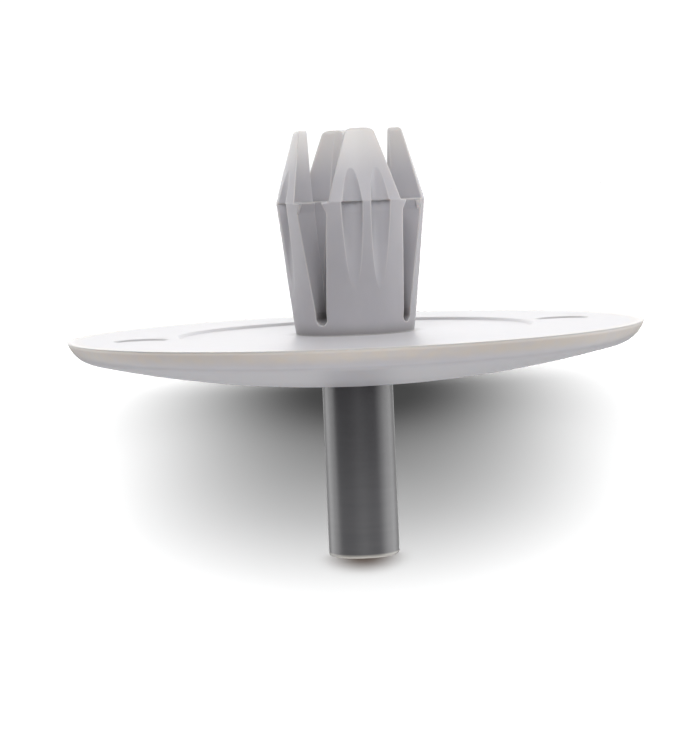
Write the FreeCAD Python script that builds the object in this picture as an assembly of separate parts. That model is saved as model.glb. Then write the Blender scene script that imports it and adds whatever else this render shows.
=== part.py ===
import FreeCAD, Part
import math
import os

from FreeCAD import Vector

# Plastic push rivet with a wide round head.
# The retainer is one moulding: a shallow domed head with a shank split into four fluted fingers.
# The drive pin is a plain round rod that stands out of the dome until it is pushed home.
# All sizes are in millimetres. The origin is on the shank's axis, in the flat seat that meets the
# panel. +Z runs up the shank to the finger tips, so the dome and the pin lie below the origin.

# Head: flat seat above, rounded rim, spherical dome below with a small flat round the pin
head_diameter = 34.0
head_rim_radius = 1.9
head_rim_drop = 0.90
head_dome_rise = 2.29
pin_flat_diameter = 7.0

# Shallow round recess in the seat, round the shank's foot, with a sloping wall
recess_diameter = 21.0
recess_depth = 0.16
recess_wall_run = 0.14

# Two ejector marks in the seat, opposite each other, with sloping walls
mark_count = 2
mark_diameter = 3.2
mark_depth = 0.09
mark_wall_run = 0.07
mark_circle_radius = 12.8

# Shank: a cone that opens from its foot up to the barb, then closes in towards the finger tips
foot_diameter = 7.00
foot_height = 0.50
collar_diameter = 7.18
barb_diameter = 8.80
barb_height = 7.60
tip_diameter = 6.30
tip_height = 11.82
tip_edge_radius = 0.30
shank_bore_diameter = 5.0
shank_bore_floor = 0.10

# Four fingers, parted by slots on the diagonals
finger_count = 4
slot_width = 0.76
slot_floor_height = 0.45
slot_straight_height = 1.20
slot_width_under_barb = 2.00
slot_width_over_barb = 2.38
slot_width_at_tip = 3.20

# Thin ears at the barb's corners, which reach a little way into the slots
ear_height = 0.60
ear_thickness = 0.08
ear_reach = 0.24
ear_depth = 0.30

# Two upright flutes in each finger's face, and the shallower ones over the barb, which lean in
flute_radius = 0.62
flute_offset = 0.87
flute_depth = 0.58
flute_start_height = 1.60
flute_depth_over_barb = 0.42
flute_lean_over_barb = 4.5

# Drive pin and its hole through the head
pin_diameter = 4.20
pin_clearance = 0.05
pin_protrusion = 10.33
pin_engagement = 2.50
pin_end_chamfer = 0.10
pin_lead_chamfer = 0.35

# Places worked out from the sizes above
finger_spacing = 360.0 / finger_count
head_radius = head_diameter / 2
seat_z = 0.0
recess_floor_z = seat_z - recess_depth
dome_radius = (head_radius ** 2 + head_dome_rise ** 2) / (2 * head_dome_rise)
dome_centre_z = seat_z - head_rim_drop - head_dome_rise + dome_radius
pin_flat_z = dome_centre_z - math.sqrt(dome_radius ** 2 - (pin_flat_diameter / 2) ** 2)
pin_hole_radius = pin_diameter / 2 + pin_clearance
pin_outer_z = pin_flat_z - pin_protrusion
pin_inner_z = pin_flat_z + pin_engagement

UP = Vector(0, 0, 1)
ORIGIN = Vector(0, 0, 0)
# cutters reach this far past what they cut
OVERLAP = 1.0
# points and heights closer than this are the same
NEAR = 0.001
# the most of the tip's wall that its rounding may take
TIP_WALL_SHARE = 0.9


def point(x, z):
    """A point of a profile drawn in the XZ plane."""
    return Vector(x, 0, z)


def closed_face(edges):
    """A flat face from edges that follow each other."""
    return Part.Face(Part.Wire(Part.__sortEdges__(edges)))


def polyline_edges(points):
    """Straight edges through the points, in order, left open. Points that coincide give no edge."""
    return [Part.makeLine(a, b) for a, b in zip(points, points[1:]) if (b - a).Length > NEAR]


def polygon_face(points):
    """A flat face inside straight edges through the points."""
    return closed_face(polyline_edges(points + points[:1]))


def revolve(face):
    """A full turn of a profile round the rivet's axis."""
    return face.revolve(ORIGIN, UP, 360)


def around(shape, count, spacing, start=0.0):
    """Copies of a shape round the axis, with their spacing and first angle in degrees."""
    copies = []
    for k in range(count):
        copy = shape.copy()
        copy.rotate(ORIGIN, UP, start + spacing * k)
        copies.append(copy)
    return copies


def arc(start, end, centre):
    """The shorter arc from start to end round a centre."""
    radius = (start - centre).Length
    middle = centre + ((start + end) * 0.5 - centre).normalize() * radius
    return Part.Arc(start, middle, end).toShape()


def rim_centre(seat_corner, dome_centre):
    """The middle of the rim's arc, which starts at the seat's corner and touches the dome from inside."""
    to_corner = seat_corner - dome_centre
    gap = to_corner.Length
    reach = dome_radius - head_rim_radius
    along = (gap ** 2 + reach ** 2 - head_rim_radius ** 2) / (2 * gap)
    aside = math.sqrt(reach ** 2 - along ** 2)
    direction = to_corner / gap
    inward = Vector(direction.z, 0, -direction.x)
    return dome_centre + direction * along + inward * aside


def head_solid():
    """The disc: flat seat, a rim that is one arc, the dome, which the arc meets smoothly, and its flat."""
    dome_centre = point(0, dome_centre_z)
    seat_corner = point(head_radius, seat_z)
    centre = rim_centre(seat_corner, dome_centre)
    rim_end = dome_centre + (centre - dome_centre).normalize() * dome_radius
    flat_edge = point(pin_flat_diameter / 2, pin_flat_z)
    edges = [
        arc(seat_corner, rim_end, centre),
        arc(rim_end, flat_edge, dome_centre),
    ]
    edges += polyline_edges([flat_edge, point(0, pin_flat_z), point(0, seat_z), seat_corner])
    return revolve(closed_face(edges))


def dish_cut(diameter, depth, wall_run):
    """A shallow round dish below the seat, whose wall slopes out to the diameter at the seat."""
    radius = diameter / 2
    return revolve(polygon_face([
        point(0, seat_z - depth),
        point(radius - wall_run, seat_z - depth),
        point(radius, seat_z),
        point(radius, seat_z + OVERLAP),
        point(0, seat_z + OVERLAP),
    ]))


def mark_cuts():
    """The ejector marks, on the line of two opposite fingers."""
    mark = dish_cut(mark_diameter, mark_depth, mark_wall_run)
    mark.translate(Vector(mark_circle_radius, 0, 0))
    return around(mark, mark_count, 360.0 / mark_count)


def shank_solid():
    """The fingers before they are parted and bored: foot, collar cone, barb and closing taper."""
    return revolve(polygon_face([
        point(0, recess_floor_z - OVERLAP),
        point(foot_diameter / 2, recess_floor_z - OVERLAP),
        point(foot_diameter / 2, recess_floor_z),
        point(collar_diameter / 2, foot_height),
        point(barb_diameter / 2, barb_height),
        point(tip_diameter / 2, tip_height),
        point(0, tip_height),
    ]))


def slot_cutter(reach):
    """One slot through the whole shank, drawn across its length.

    It has a round floor, runs straight past the collar and opens up the fingers. Just under the
    barb it closes again by the given reach, then steps out to the narrower closing taper.
    """
    half = slot_width / 2
    under_barb = slot_width_under_barb / 2
    floor_centre = slot_floor_height + half
    right_side = [
        (half, floor_centre),
        (half, slot_straight_height),
        (under_barb, barb_height - ear_height),
        (under_barb - reach, barb_height - ear_thickness),
        (under_barb - reach, barb_height),
        (slot_width_over_barb / 2, barb_height),
        (slot_width_at_tip / 2, tip_height),
        (slot_width_at_tip / 2, tip_height + OVERLAP),
    ]
    right = [point(x, z) for x, z in right_side]
    left = [point(-x, z) for x, z in reversed(right_side)]
    edges = polyline_edges(right + left)
    edges.append(Part.Arc(left[-1], point(0, slot_floor_height), right[0]).toShape())
    length = barb_diameter + 2 * OVERLAP
    face = closed_face(edges)
    face.translate(Vector(0, -length / 2, 0))
    return face.extrude(Vector(0, length, 0))


def slot_cuts():
    """The slots on the diagonals. Only the outermost part of each wall carries the ears."""
    core = Part.makeCylinder(barb_diameter / 2 - ear_depth, tip_height + 2 * OVERLAP)
    pair = [slot_cutter(ear_reach), slot_cutter(0.0).common(core)]
    cuts = []
    for cutter in pair:
        cuts += around(cutter, finger_count // 2, finger_spacing, finger_spacing / 2)
    return cuts


def flute_cuts():
    """The flutes, a pair in each finger: upright ones up to the barb and leaning ones over it."""
    face_at_flute = math.sqrt((barb_diameter / 2) ** 2 - flute_offset ** 2)
    bite = flute_radius + face_at_flute
    length = tip_height - barb_height + 2 * OVERLAP
    over_barb = Part.makeBox(2 * barb_diameter, 2 * barb_diameter, length,
                             Vector(-barb_diameter, -barb_diameter, barb_height))
    lean = math.radians(flute_lean_over_barb)
    leaning = Vector(-math.sin(lean), 0, math.cos(lean))
    cuts = []
    for side in (-1, 1):
        y = side * flute_offset
        under = Part.makeCylinder(flute_radius, barb_height - flute_start_height,
                                  Vector(bite - flute_depth, y, flute_start_height))
        over_centre = Vector(bite - flute_depth_over_barb, y, barb_height)
        over = Part.makeCylinder(flute_radius, length + OVERLAP, over_centre - leaning * OVERLAP, leaning)
        for flute in (under, over.common(over_barb)):
            cuts += around(flute, finger_count, finger_spacing)
    return cuts


def split_shank():
    """The shank parted into fingers, with rounded tips, then bored and fluted."""
    shank = shank_solid().cut(slot_cuts())
    tips = [e for e in shank.Edges if e.BoundBox.ZMin > tip_height - NEAR]
    tip_wall = (tip_diameter - shank_bore_diameter) / 2
    shank = shank.makeFillet(min(tip_edge_radius, TIP_WALL_SHARE * tip_wall), tips)
    bore_length = tip_height - shank_bore_floor
    bore = Part.makeCylinder(shank_bore_diameter / 2, bore_length + OVERLAP, point(0, shank_bore_floor))
    return shank.cut([bore] + flute_cuts())


def retainer():
    """Head and shank as one moulding, with the hole that carries the pin."""
    head = head_solid().cut([dish_cut(recess_diameter, recess_depth, recess_wall_run)] + mark_cuts())
    body = head.fuse(split_shank())
    hole_length = shank_bore_floor - pin_flat_z
    hole = Part.makeCylinder(pin_hole_radius, hole_length + 2 * OVERLAP, point(0, pin_flat_z - OVERLAP))
    return body.cut(hole).removeSplitter()


def drive_pin():
    """A round rod, chamfered at both ends, more steeply where it leads into the shank."""
    radius = pin_diameter / 2
    return revolve(polygon_face([
        point(0, pin_outer_z),
        point(radius - pin_end_chamfer, pin_outer_z),
        point(radius, pin_outer_z + pin_end_chamfer),
        point(radius, pin_inner_z - pin_lead_chamfer),
        point(radius - pin_lead_chamfer, pin_inner_z),
        point(0, pin_inner_z),
    ]))


def single_solid(shape):
    """The one solid in a result, so that a stray piece can't pass unseen."""
    if len(shape.Solids) != 1:
        raise ValueError("expected one solid, found %d" % len(shape.Solids))
    return shape.Solids[0]


os.makedirs("parts", exist_ok=True)
nodes = {"retainer": retainer(), "drive_pin": drive_pin()}
for name, shape in nodes.items():
    solid = single_solid(shape)
    print(name, "valid", solid.isValid(), "volume", round(solid.Volume, 2))
    solid.exportStep("parts/%s.step" % name)
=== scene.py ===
# %% [markdown]
# # A plastic push rivet
# This notebook dresses the CAD model of a push rivet: a wide, shallow domed head on a shank that
# is split into four fluted fingers, and the round pin that locks them when it is pushed home.
# The CAD model fixes every size and place, in metres, with the origin on the shank's axis in the
# flat seat and +Z towards the finger tips. Nothing here moves it, resizes it or adds to it. The
# two pieces get their plastics, and a table, light and a camera are set up round them.

# %% Load the CAD model
import math

import bpy
from mathutils import Matrix, Vector


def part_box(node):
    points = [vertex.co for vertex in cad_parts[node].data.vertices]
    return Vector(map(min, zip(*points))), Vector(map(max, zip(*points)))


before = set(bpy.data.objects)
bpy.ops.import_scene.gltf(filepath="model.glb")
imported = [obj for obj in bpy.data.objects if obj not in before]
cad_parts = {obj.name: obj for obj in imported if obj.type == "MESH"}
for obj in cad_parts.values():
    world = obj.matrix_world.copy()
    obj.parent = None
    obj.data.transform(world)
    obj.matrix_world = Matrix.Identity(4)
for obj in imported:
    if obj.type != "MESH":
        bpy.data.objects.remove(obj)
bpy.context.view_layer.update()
scene = bpy.context.scene
MM = 0.001

for name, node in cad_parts.items():
    low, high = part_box(name)
    size = (high - low) / MM
    print("%s: %d faces, %.2f x %.2f x %.2f mm" % (name, len(node.data.polygons), *size))

# %% [markdown]
# ## Where the camera stands
# The rivet is seen almost edge on, from a hand's breadth away and a little above the seat. The
# near and the far edge of the head, which is a true circle, fix the distance and the pitch. The
# camera could be turned by hand until it looks right, but a distance, three angles and a lens
# say the same thing in numbers that can be checked and changed.

# %% Camera
VIEW_TURN = math.radians(-12.5)
VIEW_PITCH = math.radians(4.57)
VIEW_ROLL = math.radians(2.36)
VIEW_DISTANCE = 149.5 * MM
VIEW_LENS = 120.26
AIM_RIGHT = -0.43 * MM
AIM_HEIGHT = -2.83 * MM
NEAREST_SEEN = 1 * MM
FARTHEST_SEEN = 100.0
UP = Vector((0, 0, 1))

to_right = Vector((math.cos(VIEW_TURN), math.sin(VIEW_TURN), 0))
away = Vector((-math.sin(VIEW_TURN), math.cos(VIEW_TURN), 0))
aim = to_right * AIM_RIGHT + UP * AIM_HEIGHT
back = UP * math.sin(VIEW_PITCH) - away * math.cos(VIEW_PITCH)

lens = bpy.data.cameras.new("camera")
lens.lens = VIEW_LENS
lens.clip_start = NEAREST_SEEN
lens.clip_end = FARTHEST_SEEN
camera = bpy.data.objects.new("camera", lens)
scene.collection.objects.link(camera)
facing = back.to_track_quat("Z", "Y").to_matrix().to_4x4()
roll = Matrix.Rotation(-VIEW_ROLL, 4, "Z")
camera.matrix_world = Matrix.Translation(aim + back * VIEW_DISTANCE) @ facing @ roll
scene.camera = camera
print("camera at", [round(v / MM, 2) for v in camera.location], "mm")

# %% [markdown]
# ## The table
# The rivet stands on the end of its pin, on a white table in front of nothing. The table is there
# for the camera and to catch the shade. It doesn't light the rivet, because the room, which is
# set up further on, does that. A pale table under ordinary lamps would be the other way. Here
# its colour is dark and its own lamp very strong, so that this lamp alone makes it white and
# the room's light can't wash out the shade that lies on it.

# %% Table
TABLE_SIZE = 6.0
TABLE_COLOUR = (0.06, 0.06, 0.06)
TABLE_ROUGHNESS = 0.9
pin_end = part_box("drive_pin")[0].z

bpy.ops.object.select_all(action="DESELECT")
bpy.ops.mesh.primitive_plane_add(size=TABLE_SIZE, location=(0, 0, pin_end))
table = bpy.context.object
table.name = "table"
table.visible_diffuse = False
table.visible_glossy = False
table_top = bpy.data.materials.new("table_top")
table_top.use_nodes = True
table_shader = table_top.node_tree.nodes["Principled BSDF"]
table_shader.inputs["Base Color"].default_value = (*TABLE_COLOUR, 1)
table_shader.inputs["Roughness"].default_value = TABLE_ROUGHNESS
table_shader.inputs["Specular IOR Level"].default_value = 0.0
table.data.materials.append(table_top)
print("table at", round(pin_end / MM, 2), "mm")

# %% [markdown]
# ## Sums in a node tree
# The room, the shade and both plastics are all drawn by sums on directions and places. The nodes
# could be added and linked one by one each time, but three small helpers keep the recipes short:
# one feeds a socket, and the others add a sum on numbers or on vectors.

# %% Sums
NUMBER_RESULTS = ("DOT_PRODUCT", "LENGTH")


def feed(tree, socket, value):
    """Links another node's output to a socket, or sets the socket to a plain number or vector."""
    if isinstance(value, bpy.types.NodeSocket):
        tree.links.new(value, socket)
    else:
        socket.default_value = value


def number_sum(tree, operation, first, second):
    """A sum on two numbers."""
    node = tree.nodes.new("ShaderNodeMath")
    node.operation = operation
    feed(tree, node.inputs[0], first)
    feed(tree, node.inputs[1], second)
    return node.outputs["Value"]


def vector_sum(tree, operation, first, second=(0, 0, 0)):
    """A sum on one or two vectors."""
    node = tree.nodes.new("ShaderNodeVectorMath")
    node.operation = operation
    feed(tree, node.inputs[0], first)
    feed(tree, node.inputs[1], second)
    return node.outputs["Value" if operation in NUMBER_RESULTS else "Vector"]


print("vector sums that give a number:", ", ".join(NUMBER_RESULTS))

# %% [markdown]
# ## Soft steps
# Nothing here has a hard edge, neither the lights nor the tints. A colour ramp with two stops
# could do it, but a Map Range node set to a smooth step takes its ends as plain values in the
# units of what it reads, which are cosines for the room and metres for the plastics.

# %% Soft step


def soft_step(tree, value, span, low=0.0, high=1.0):
    """A number that goes smoothly from low to high while a value goes through a span."""
    ramp = tree.nodes.new("ShaderNodeMapRange")
    ramp.interpolation_type = "SMOOTHSTEP"
    ends = {"From Min": span[0], "From Max": span[1], "To Min": low, "To Max": high}
    for name, end in ends.items():
        ramp.inputs[name].default_value = end
    tree.links.new(value, ramp.inputs["Value"])
    return ramp.outputs["Result"]


QUARTER = 0.25
print("a quarter along, a soft step has gone %.2f of the way" % (3 * QUARTER ** 2 - 2 * QUARTER ** 3))

# %% [markdown]
# ## The room
# The real rivet lay tipped over on its table, so the white table stood up behind its shank and
# the dark room lay in front. Here the rivet stands straight and the room is tipped instead: one
# half of it is the lit table and the other the room. Lamps could stand in for both, but a room
# that is drawn by direction has no grain and no edges, and shines the same from every camera.

# %% Room light
TABLE_TIP = math.radians(38)
TABLE_LIGHT = 1.25
ROOM_LIGHT = 0.07
TABLE_EDGE = (-0.06, 0.06)
table_up = UP * math.cos(TABLE_TIP) - away * math.sin(TABLE_TIP)

world = bpy.data.worlds.new("room")
scene.world = world
world.use_nodes = True
room = world.node_tree
room.nodes.clear()
looking = room.nodes.new("ShaderNodeTexCoord").outputs["Generated"]


def towards(direction, span, low, high):
    """A light that goes from low to high over a span of the cosine to a direction."""
    cosine = vector_sum(room, "DOT_PRODUCT", looking, direction)
    return soft_step(room, cosine, span, low, high)


light = towards(table_up, TABLE_EDGE, ROOM_LIGHT + TABLE_LIGHT, ROOM_LIGHT)
print("room drawn round", [round(v, 2) for v in table_up])

# %% [markdown]
# ## Brighter and darker places in the room
# The shank has a bright side on the left and a brighter one on the right, the pin carries two
# upright streaks, and the dome is lit from below at the front. Each is a round, soft patch on the
# room. Area lamps would give the same streaks with square ends and noise. A patch can also take
# light away, which no lamp does: under the rivet and low behind it there is less to reflect.

# %% Patches


def raised(level, height):
    """A level direction, raised by an angle in degrees."""
    return level * math.cos(math.radians(height)) + UP * math.sin(math.radians(height))


# each patch: its direction, the cosines where it starts and where it is full, and its strength
ROOM_PATCHES = {
    "overhead": (table_up, (0.6, 1.0), 0.8),
    "left": ((away * 0.4 - to_right).normalized(), (0.86, 0.985), 1.5),
    "right": ((away * 0.09 + to_right).normalized(), (0.74, 0.966), 1.9),
    "behind": (raised(away, 25), (0.7, 0.97), 0.95),
    "behind_low": (raised(away, -35), (0.75, 0.97), -0.45),
    "front_low": (raised(-away, -48), (0.7, 0.98), 2.6),
    "below": (-UP, (0.75, 1.0), -0.4),
}
for direction, span, strength in ROOM_PATCHES.values():
    light = number_sum(room, "ADD", light, towards(direction, span, 0.0, strength))
print(len(ROOM_PATCHES), "patches:", ", ".join(ROOM_PATCHES))

# %% [markdown]
# ## The shaded table behind
# The table right behind the rivet lies in the rivet's own shade, and the glossy pin shows that as
# a dark middle between its two streaks. The pin could be painted darker there, but then the dark
# stripe would stay in place when the camera goes round. So a low band of the room is darkened.

# %% Shaded table behind
TABLE_SHADE = 0.8
SHADE_ACROSS = (0.62, 0.92)
SHADE_TOP = (-0.02, 0.06)
SHADE_BOTTOM = (0.40, 0.25)

below_top = towards(-UP, SHADE_TOP, 0.0, 1.0)
above_bottom = towards(-UP, SHADE_BOTTOM, 0.0, 1.0)
band = number_sum(room, "MULTIPLY", below_top, above_bottom)
shaded = number_sum(room, "MULTIPLY", towards(away, SHADE_ACROSS, 0.0, -TABLE_SHADE), band)
light = number_sum(room, "ADD", light, shaded)
print("table behind darkened by", TABLE_SHADE)

# %% [markdown]
# ## White paper behind
# The camera sees plain white behind the rivet, not the room that lights it. A big white card
# could stand there, but it would block the room's light. The world can instead show one thing to
# the camera and another to the surfaces. The paper is a little over white, so that no line shows
# where the table ends, and the plain view transform keeps white as white.

# %% White paper
PAPER_LIGHT = 1.1

lit_room = room.nodes.new("ShaderNodeBackground")
paper = room.nodes.new("ShaderNodeBackground")
for background, strength in ((lit_room, light), (paper, PAPER_LIGHT)):
    background.inputs["Color"].default_value = (1, 1, 1, 1)
    feed(room, background.inputs["Strength"], strength)
chosen = room.nodes.new("ShaderNodeMixShader")
world_out = room.nodes.new("ShaderNodeOutputWorld")
room.links.new(room.nodes.new("ShaderNodeLightPath").outputs["Is Camera Ray"], chosen.inputs[0])
room.links.new(lit_room.outputs[0], chosen.inputs[1])
room.links.new(paper.outputs[0], chosen.inputs[2])
room.links.new(chosen.outputs[0], world_out.inputs["Surface"])
scene.view_settings.view_transform = "Standard"
print("the room has", len(room.nodes), "nodes")

# %% [markdown]
# ## The soft box
# A soft box hangs over the tipped table and lightens the seat and the upper edge of the rim. The
# room's overhead patch could do it alone, but it is so wide that it casts no shade. A square
# lamp close by lets the fingers shade each other, and the head's seat, a little.

# %% Soft box
SOFTBOX_SIZE = 120 * MM
SOFTBOX_DISTANCE = 200 * MM
SOFTBOX_POWER = 0.25


def add_lamp(name, kind, direction, power):
    """A lamp at the origin that shines from a direction."""
    lamp = bpy.data.lights.new(name, kind)
    lamp.energy = power
    holder = bpy.data.objects.new(name, lamp)
    scene.collection.objects.link(holder)
    holder.rotation_euler = direction.to_track_quat("Z", "Y").to_euler()
    return holder


soft_box = add_lamp("top_box", "AREA", table_up, SOFTBOX_POWER)
soft_box.location = table_up * SOFTBOX_DISTANCE
soft_box.data.size = SOFTBOX_SIZE
print("soft box %.0f mm wide, %.0f mm away" % (SOFTBOX_SIZE / MM, SOFTBOX_DISTANCE / MM))

# %% [markdown]
# ## The table's own lamp
# The real shade fades from near black under the head to nothing, in every direction, because the
# rivet lay close to the table there. This rivet stands clear of it, so its true shadow would have
# another shape. A low, wide sun lights the table alone, and only the cards of the next step throw
# a shadow from it. With light linking such a lamp leaves the rivet's own light as it is.

# %% Sun on the table
SUN_HEIGHT = 9
SUN_WIDTH = math.radians(34)
SUN_POWER = 398.0

sun = add_lamp("table_sun", "SUN", raised(-away, SUN_HEIGHT), SUN_POWER)
sun.data.angle = SUN_WIDTH
lit_by_sun = bpy.data.collections.new("lit_by_sun")
lit_by_sun.objects.link(table)
sun.light_linking.receiver_collection = lit_by_sun
shades_from_sun = bpy.data.collections.new("shades_from_sun")
sun.light_linking.blocker_collection = shades_from_sun

# %% [markdown]
# ## What a scrim is made of
# A scrim is a card that holds back light. Here it is densest at its middle and clear at its rim,
# so its shadow is a soft gradient. The gradient could be painted on the table, but a table that
# is one even colour stays true from every side. The card's own shape doesn't show, because the
# finish is clear before the card ends. The spans to the front and the rear may differ.

# %% Scrim finish
SCRIM_FADE = (0.12, 1.0)


def scrim_finish(name, spans, density, colour):
    """A clear finish that takes on a colour towards its middle, by spans to the side, front, rear."""
    material = bpy.data.materials.new(name)
    material.use_nodes = True
    tree = material.node_tree
    tree.nodes.clear()
    split = tree.nodes.new("ShaderNodeSeparateXYZ")
    tree.links.new(tree.nodes.new("ShaderNodeTexCoord").outputs["Object"], split.inputs[0])
    side, front, rear = spans
    to_front = number_sum(tree, "DIVIDE", split.outputs["Y"], -front)
    to_rear = number_sum(tree, "DIVIDE", split.outputs["Y"], rear)
    joined = tree.nodes.new("ShaderNodeCombineXYZ")
    tree.links.new(number_sum(tree, "DIVIDE", split.outputs["X"], side), joined.inputs["X"])
    tree.links.new(number_sum(tree, "MAXIMUM", to_front, to_rear), joined.inputs["Y"])
    reach = vector_sum(tree, "LENGTH", joined.outputs["Vector"])
    dense = tree.nodes.new("ShaderNodeBsdfTransparent")
    dense.inputs["Color"].default_value = (*colour, 1)
    blend = tree.nodes.new("ShaderNodeMixShader")
    tree.links.new(soft_step(tree, reach, SCRIM_FADE, density, 0.0), blend.inputs[0])
    tree.links.new(tree.nodes.new("ShaderNodeBsdfTransparent").outputs[0], blend.inputs[1])
    tree.links.new(dense.outputs[0], blend.inputs[2])
    result = tree.nodes.new("ShaderNodeOutputMaterial")
    tree.links.new(blend.outputs[0], result.inputs["Surface"])
    return material


print("a scrim is clear from", SCRIM_FADE[1], "of its span")

# %% [markdown]
# ## The three scrims
# One long card makes the dark that lies behind the head, one smaller card the grey round the pin,
# and a tiny brownish one the close shade in front of the pin's end. They lie a fraction of a
# millimetre over the table, because a higher card's shadow is blurred away by the wide sun. Only
# the sun meets them: neither the camera nor the rivet's plastic can see them.

# %% Scrims
BLACK = (0.0, 0.0, 0.0)
WARM_BROWN = (0.13, 0.095, 0.075)
# each scrim: how far its middle lies behind the axis and to its right, its height over the table,
# its spans to the side, front and rear, all in millimetres, then its density and its colour
SCRIMS = {
    "back_scrim": (112, 0.9, 0.3, (34.5, 140, 60), 0.98, BLACK),
    "base_scrim": (28, 0.0, 0.15, (24, 74, 72), 0.5, BLACK),
    "contact_scrim": (-1.4, 0.0, 0.06, (3.0, 8.0, 3.4), 1.0, WARM_BROWN),
}


def scrim(name, behind, aside, height, spans, density, colour):
    """A level card over the table that only the sun meets."""
    spans = [span * MM for span in spans]
    middle = away * (behind * MM) + to_right * (aside * MM) + UP * (pin_end + height * MM)
    bpy.ops.object.select_all(action="DESELECT")
    bpy.ops.mesh.primitive_plane_add(size=2 * max(spans), location=middle, rotation=(0, 0, VIEW_TURN))
    card = bpy.context.object
    card.name = name
    card.data.materials.append(scrim_finish(name, spans, density, colour))
    card.visible_camera = False
    card.visible_diffuse = False
    card.visible_glossy = False
    card.visible_transmission = False
    shades_from_sun.objects.link(card)


for name, (behind, aside, height, spans, density, colour) in SCRIMS.items():
    scrim(name, behind, aside, height, spans, density, colour)

# %% [markdown]
# ## Moulded plastic
# Both pieces are plain moulded plastic, so both start from the same shader with one even colour,
# and tints are blended over it by place. Most of the tints are painted light and shade, not
# colours of the plastic. The tints could be painted in a picture, but a picture has to be
# unwrapped and fits one size only. Height and distance from the axis are enough here, because
# everything on the rivet is round or repeats round its axis.

# %% Plastic
# a Mix node has sockets of the same name for each kind of data, so they are told apart by number
COLOUR_FROM, COLOUR_TO, COLOUR_RESULT = 6, 7, 2
VECTOR_FROM, VECTOR_TO, VECTOR_RESULT = 4, 5, 1
AROUND_AXIS = (1, 1, 0)


class Plastic:
    """A plastic in the making: its node tree, what it can read, and its colour so far."""

    def __init__(self, name, colour, roughness):
        self.material = bpy.data.materials.new(name)
        self.material.use_nodes = True
        self.tree = self.material.node_tree
        self.shader = self.tree.nodes["Principled BSDF"]
        self.shader.inputs["Roughness"].default_value = roughness
        self.place = self.tree.nodes.new("ShaderNodeTexCoord").outputs["Object"]
        split = self.tree.nodes.new("ShaderNodeSeparateXYZ")
        self.tree.links.new(self.place, split.inputs[0])
        self.height = split.outputs["Z"]
        level = vector_sum(self.tree, "MULTIPLY", self.place, AROUND_AXIS)
        self.radius = vector_sum(self.tree, "LENGTH", level)
        even = self.tree.nodes.new("ShaderNodeRGB")
        even.outputs[0].default_value = (*colour, 1)
        self.colour = even.outputs[0]

    def within(self, value, span, low=0.0, high=1.0):
        """A share that goes from low to high over a span of places, given in millimetres."""
        start, full = span
        return soft_step(self.tree, value, (start * MM, full * MM), low, high)

    def both(self, first, second):
        """Where two shares overlap, their product."""
        return number_sum(self.tree, "MULTIPLY", first, second)

    def tint(self, share, colour):
        """Blends a colour over what is there, by a share."""
        node = self.tree.nodes.new("ShaderNodeMix")
        node.data_type = "RGBA"
        node.inputs[COLOUR_TO].default_value = (*colour, 1)
        self.tree.links.new(share, node.inputs[0])
        self.tree.links.new(self.colour, node.inputs[COLOUR_FROM])
        self.colour = node.outputs[COLOUR_RESULT]


print("the distance from the axis leaves the height out, by", AROUND_AXIS)

# %% [markdown]
# ## The retainer's plastic
# Head and shank are one moulding in a light grey, faintly violet plastic with a satin surface. A
# plain diffuse grey would look like card. A little subsurface light lets it glow at thin edges,
# as thin plastic does, and a middling roughness gives wide, soft highlights.

# %% Retainer plastic
RETAINER_GREY = (0.45, 0.44, 0.465)
RETAINER_ROUGHNESS = 0.42
GLOW_SHARE = 0.25
GLOW_DEPTHS = (1.0, 0.7, 0.5)
GLOW_SCALE = 0.6 * MM

grey = Plastic("retainer_plastic", RETAINER_GREY, RETAINER_ROUGHNESS)
grey.shader.inputs["Subsurface Weight"].default_value = GLOW_SHARE
grey.shader.inputs["Subsurface Radius"].default_value = GLOW_DEPTHS
grey.shader.inputs["Subsurface Scale"].default_value = GLOW_SCALE
print("retainer starts from", RETAINER_GREY)

# %% [markdown]
# ## A faint mottle
# Close to, the grey isn't quite even: the melt has flowed up the fingers and left faint, long
# clouds. A picture of real plastic would show this too, but it would need a seam somewhere. Noise
# on the object's own coordinates has none, and one Mapping node stretches it along the shank.

# %% Mottle
MOTTLE_DETAIL = 3
MOTTLE_SPAN = (0.3, 0.7)
CLOUD_STRETCH = (1, 1, 0.6)
CLOUD_SCALE = 900
CLOUD_SHARE = 0.18
CLOUD_GREY = (0.36, 0.355, 0.385)


def mottle(plastic, stretch, scale, low, high):
    """A fine, even noise, stretched along the axes, that goes from low to high."""
    fit = plastic.tree.nodes.new("ShaderNodeMapping")
    fit.inputs["Scale"].default_value = stretch
    plastic.tree.links.new(plastic.place, fit.inputs["Vector"])
    noise = plastic.tree.nodes.new("ShaderNodeTexNoise")
    noise.inputs["Scale"].default_value = scale
    noise.inputs["Detail"].default_value = MOTTLE_DETAIL
    plastic.tree.links.new(fit.outputs["Vector"], noise.inputs["Vector"])
    return soft_step(plastic.tree, noise.outputs["Fac"], MOTTLE_SPAN, low, high)


grey.tint(mottle(grey, CLOUD_STRETCH, CLOUD_SCALE, 0.0, CLOUD_SHARE), CLOUD_GREY)
print("clouds of", CLOUD_GREY)

# %% [markdown]
# ## Painted light on the tips
# The fingers get thinner above the barb, light comes through them and falls on them from above,
# so their ends look nearly white. More subsurface light would do it slowly and with grain. So
# that light is painted: a paler tint by height costs nothing.

# %% Tips
TIP_HEIGHTS = (8.5, 11.9)
TIP_SHARE = 0.8
# painted light: the glow through the thin tips and the light from above them
TIP_PAINTED_GLOW = (0.68, 0.66, 0.64)

grey.tint(grey.within(grey.height, TIP_HEIGHTS, 0.0, TIP_SHARE), TIP_PAINTED_GLOW)
print("tips of", TIP_PAINTED_GLOW)
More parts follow.
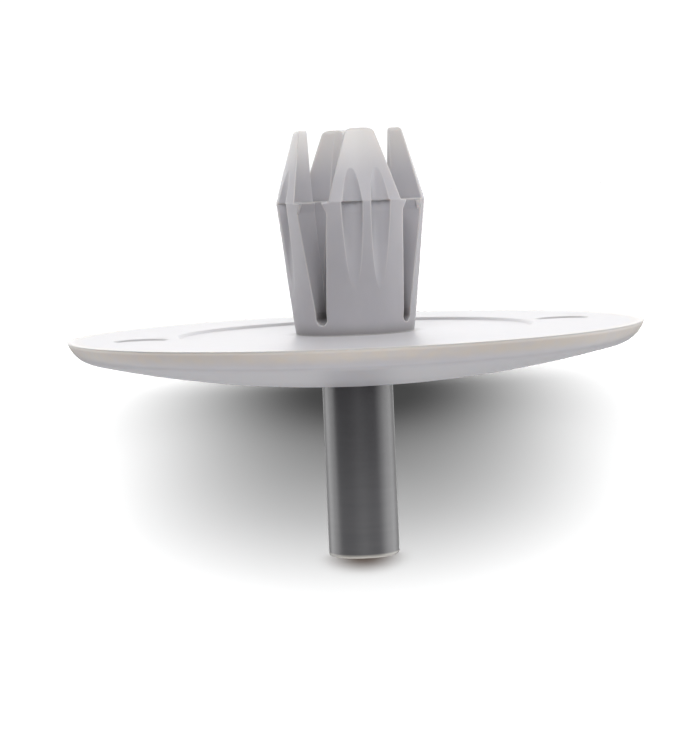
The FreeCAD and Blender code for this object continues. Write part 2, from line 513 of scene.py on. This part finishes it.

# %% [markdown]
# ## Painted light on the rim
# A warm, slightly blotchy band runs round the head's edge, and over it a thin, pale lip where the
# rim meets the seat. Both are painted light: the band is a painted warm reflection of the lit
# table in front, blotched by noise, and the lip is a painted highlight along the rim's top edge.
# Both could be separate rings of faces, but the real rim is one surface, so they are bands by
# height that start at a distance from the axis.

# %% Rim
RIM_OUT = (15.9, 16.5)
RIM_UP = (-0.95, -0.45)
# painted warm reflection of the lit table on the rim's band
RIM_PAINTED_REFLECTION = (0.50, 0.445, 0.385)
BLOTCH_SCALE = 1500
BLOTCH_SHARES = (0.4, 0.8)
LIP_OUT = (16.4, 16.8)
LIP_UP = (-0.24, -0.08)
# painted highlight along the rim's top edge
LIP_PAINTED_HIGHLIGHT = (0.62, 0.595, 0.565)

on_rim = grey.both(grey.within(grey.radius, RIM_OUT), grey.within(grey.height, RIM_UP))
blotches = mottle(grey, (1, 1, 1), BLOTCH_SCALE, *BLOTCH_SHARES)
grey.tint(grey.both(on_rim, blotches), RIM_PAINTED_REFLECTION)
on_lip = grey.both(grey.within(grey.radius, LIP_OUT), grey.within(grey.height, LIP_UP))
grey.tint(on_lip, LIP_PAINTED_HIGHLIGHT)
print("rim of", RIM_PAINTED_REFLECTION, "and lip of", LIP_PAINTED_HIGHLIGHT)

# %% [markdown]
# ## Painted light on the seat and the dome
# The flat seat, which lies open to the light, looks almost white, and the outer part of the dome,
# which the front of the room lights from below, is lighter than the shank. More light would
# whiten the shank as well, so both are painted light: paler tints picked by the direction that a
# face points in. The seat faces straight up, and the dome faces down.

# %% Seat and dome
OVER_DOME = (-0.5, -0.4)
UNDER_SHANK = (0.4, 0.2)
STRAIGHT_UP = (0.9, 0.98)
SEAT_SHARE = 0.45
# painted light on the seat, which faces the light
SEAT_PAINTED_LIGHT = (0.62, 0.61, 0.625)
DOME_OUT = (6, 13)
DOME_DOWN = (-0.9, -1.2)
FACING_DOWN = (0.0, -0.3)
# painted light on the dome, which the room lights from below
DOME_PAINTED_LIGHT = (0.52, 0.51, 0.54)


def facing_up(plastic, span):
    """A share by how far a face points up, where 1 is straight up and -1 straight down."""
    split = plastic.tree.nodes.new("ShaderNodeSeparateXYZ")
    shape = plastic.tree.nodes.new("ShaderNodeNewGeometry")
    plastic.tree.links.new(shape.outputs["Normal"], split.inputs[0])
    return soft_step(plastic.tree, split.outputs["Z"], span)


over_dome = grey.within(grey.height, OVER_DOME)
on_seat = grey.both(facing_up(grey, STRAIGHT_UP), over_dome)
grey.tint(grey.both(on_seat, grey.within(grey.height, UNDER_SHANK, 0.0, SEAT_SHARE)), SEAT_PAINTED_LIGHT)
on_dome = grey.both(grey.within(grey.radius, DOME_OUT), grey.within(grey.height, DOME_DOWN))
grey.tint(grey.both(on_dome, facing_up(grey, FACING_DOWN)), DOME_PAINTED_LIGHT)
print("seat of", SEAT_PAINTED_LIGHT, "and dome of", DOME_PAINTED_LIGHT)

# %% [markdown]
# ## Rounded edges
# No moulded edge is sharp: fingers, slots and flutes all have a small round edge that catches the
# light. A Bevel modifier would have to find these edges on a mesh of loose triangles. The Bevel
# node rounds the shading alone, and where its normal parts from the face's own there is an edge,
# which gets a paler tint as well: a painted highlight.

# %% Rounded edges
BEVEL_SAMPLES = 8
FINE_EDGE = 0.15 * MM
SOFT_EDGE = 0.30 * MM
# painted highlight on the rounded edges
EDGE_PAINTED_HIGHLIGHT = (0.60, 0.585, 0.59)
EDGE_SPAN = (0.995, 0.88)


def rounded(plastic, radius):
    """A normal that rounds the edges by a radius."""
    node = plastic.tree.nodes.new("ShaderNodeBevel")
    node.samples = BEVEL_SAMPLES
    node.inputs["Radius"].default_value = radius
    return node.outputs["Normal"]


fine_edges = rounded(grey, FINE_EDGE)
soft_edges = rounded(grey, SOFT_EDGE)
face = grey.tree.nodes.new("ShaderNodeNewGeometry").outputs["Normal"]
likeness = vector_sum(grey.tree, "DOT_PRODUCT", fine_edges, face)
grey.tint(soft_step(grey.tree, likeness, EDGE_SPAN), EDGE_PAINTED_HIGHLIGHT)
print("edges rounded by %.2f and %.2f mm" % (FINE_EDGE / MM, SOFT_EDGE / MM))

# %% [markdown]
# ## The small walls in the seat
# A shallow round recess and two round ejector marks show on the seat as thin grey arcs. They are
# real steps in the CAD model, and the light shades their walls darker than those arcs. So the
# walls get painted light: a paler grey that lightens their shade. A line of colour drawn by hand
# could miss the step, so the tint goes wherever the seat's surface slopes.

# %% Walls in the seat
SEAT_INNER = (9.6, 10.0)
SEAT_OUTER = (15.2, 14.8)
SLOPING = (0.95, 0.75)
# painted light that lightens the shade on the walls in the seat
WALL_PAINTED_LIGHT = (0.56, 0.55, 0.57)

in_seat = grey.both(grey.within(grey.radius, SEAT_INNER), grey.within(grey.radius, SEAT_OUTER))
grey.tint(grey.both(grey.both(in_seat, over_dome), facing_up(grey, SLOPING)), WALL_PAINTED_LIGHT)
print("walls of", WALL_PAINTED_LIGHT)

# %% [markdown]
# ## The barb's ears
# Thin ears stand out at the barb's corners, and their undersides shine white against the slots,
# since light comes through them. They are a fraction of a millimetre thick, so subsurface light
# would need many samples. A near white tint on what faces down there paints the same small
# glint.

# %% Barb
EARS_OUT = (3.5, 3.65)
EARS_FROM = (6.9, 7.1)
EARS_UP_TO = (7.8, 7.7)
UNDERSIDE = (-0.2, -0.38)
# painted glint on the ears' undersides
EAR_PAINTED_GLINT = (0.85, 0.83, 0.82)

outer = grey.both(grey.within(grey.radius, EARS_OUT), grey.within(grey.height, EARS_FROM))
at_barb = grey.both(outer, grey.within(grey.height, EARS_UP_TO))
grey.tint(grey.both(at_barb, facing_up(grey, UNDERSIDE)), EAR_PAINTED_GLINT)
print("ears of", EAR_PAINTED_GLINT)

# %% [markdown]
# ## Painted shade in the hollows
# The slots end in dark, warm holes, and the bore between the fingers is darker still, as little
# light gets into them. In a white room so narrow a gap fills with light from all sides, so that
# shade is painted: a warm, dark tint. Dark faces could be picked by hand. The ambient occlusion
# node finds by itself how closed in each place is, so it darkens every slot and the bore alike,
# and goes easy at the barb, where the ears stand close together.

# %% Hollows
HOLLOW_SAMPLES = 8
HOLLOW_REACH = 1.2
HOLLOW_SPAN = (0.85, 0.05)
# painted shade in the slots' hollows
HOLLOW_PAINTED_SHADE = (0.10, 0.085, 0.075)
DEEP_REACH = 4.0
DEEP_SPAN = (0.45, 0.05)
# painted shade, darker, deep in the bore
DEEP_PAINTED_SHADE = (0.05, 0.042, 0.037)
BARB_SHARE = 0.25


def hollows(plastic, reach, span):
    """The share of each place that is closed in, as seen within a reach in millimetres."""
    node = plastic.tree.nodes.new("ShaderNodeAmbientOcclusion")
    node.samples = HOLLOW_SAMPLES
    node.inputs["Distance"].default_value = reach * MM
    return soft_step(plastic.tree, node.outputs["AO"], span)


off_barb = soft_step(grey.tree, at_barb, (0.0, 1.0), 1.0, BARB_SHARE)
grey.tint(grey.both(hollows(grey, HOLLOW_REACH, HOLLOW_SPAN), off_barb), HOLLOW_PAINTED_SHADE)
grey.tint(hollows(grey, DEEP_REACH, DEEP_SPAN), DEEP_PAINTED_SHADE)
print("hollows of", HOLLOW_PAINTED_SHADE, "and", DEEP_PAINTED_SHADE)

# %% [markdown]
# ## Which edges are softer
# The head's own edge is rounder than the edges of the fingers. One radius for both would either
# sharpen the rim or melt the flutes. So the normal is taken from the fine rounding on the shank
# and from the soft one on the head, by the distance from the axis.

# %% Retainer's normal
SHANK_TO_HEAD = (4.4, 4.8)

edges = grey.tree.nodes.new("ShaderNodeMix")
edges.data_type = "VECTOR"
grey.tree.links.new(grey.within(grey.radius, SHANK_TO_HEAD), edges.inputs[0])
grey.tree.links.new(fine_edges, edges.inputs[VECTOR_FROM])
grey.tree.links.new(soft_edges, edges.inputs[VECTOR_TO])
print("retainer plastic has", len(grey.tree.nodes), "nodes")

# %% [markdown]
# ## The pin's plastic
# The pin is a smoother rod that mirrors the room in two upright streaks, with very fine rings
# across its length. Its grey is far darker than the retainer's: partly its own plastic, and
# partly painted shade from the head that hangs over it. The rings could be cut into its surface,
# but they are too fine for a mesh. So they are the same noise as on the retainer, squeezed in
# height instead of stretched.

# %% Pin plastic
# the pin's own grey, darkened with painted shade from the head
PIN_GREY_AND_SHADE = (0.12, 0.119, 0.124)
PIN_ROUGHNESS = 0.24
RING_SQUEEZE = (0.5, 0.5, 4)
RING_SCALE = 600
RING_SHARE = 0.16
RING_GREY = (0.075, 0.073, 0.08)

dark = Plastic("pin_plastic", PIN_GREY_AND_SHADE, PIN_ROUGHNESS)
dark.tint(mottle(dark, RING_SQUEEZE, RING_SCALE, 0.0, RING_SHARE), RING_GREY)
print("pin starts from", PIN_GREY_AND_SHADE)

# %% [markdown]
# ## Painted shade and highlight on the pin's ends
# Under the head the pin is nearly black, and its standing end has a thin, pale edge. Both are
# painted light as tints: the dark one is painted shade from the head, and the pale one a painted
# highlight where the small chamfer at the end catches the light. The painted shade takes the
# places that the head closes in, and is kept off the lower end, because the table closes that in
# too.

# %% Pin's ends
SHADED_REACH = 9
SHADED_SPAN = (0.95, 0.5)
# painted shade under the head
HEAD_PAINTED_SHADE = (0.045, 0.044, 0.047)
# painted highlight on the chamfer at the pin's end
END_PAINTED_HIGHLIGHT = (0.36, 0.345, 0.32)
end = pin_end / MM
off_table = (end + 2, end + 8)
near_end = (end + 0.26, end + 0.12)

under_head = hollows(dark, SHADED_REACH, SHADED_SPAN)
dark.tint(dark.both(under_head, dark.within(dark.height, off_table)), HEAD_PAINTED_SHADE)
dark.tint(dark.within(dark.height, near_end), END_PAINTED_HIGHLIGHT)
print("pin ends at %.2f mm" % end)

# %% [markdown]
# ## Both pieces get their plastics
# The CAD pieces come with stand-in materials, one slot each. The new ones could be added beside
# them, but then each face would need its slot set. Clearing the slots first gives every face the
# one that is left. The pin's normal is rounded by a hair, for its chamfered ends.

# %% Dress the rivet
PIN_EDGE = 0.05 * MM

normals = {"retainer": edges.outputs[VECTOR_RESULT], "drive_pin": rounded(dark, PIN_EDGE)}
for name, plastic in (("retainer", grey), ("drive_pin", dark)):
    plastic.tree.links.new(plastic.colour, plastic.shader.inputs["Base Color"])
    plastic.tree.links.new(normals[name], plastic.shader.inputs["Normal"])
    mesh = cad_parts[name].data
    mesh.materials.clear()
    mesh.materials.append(plastic.material)
    print(name, "is dressed in", plastic.material.name)
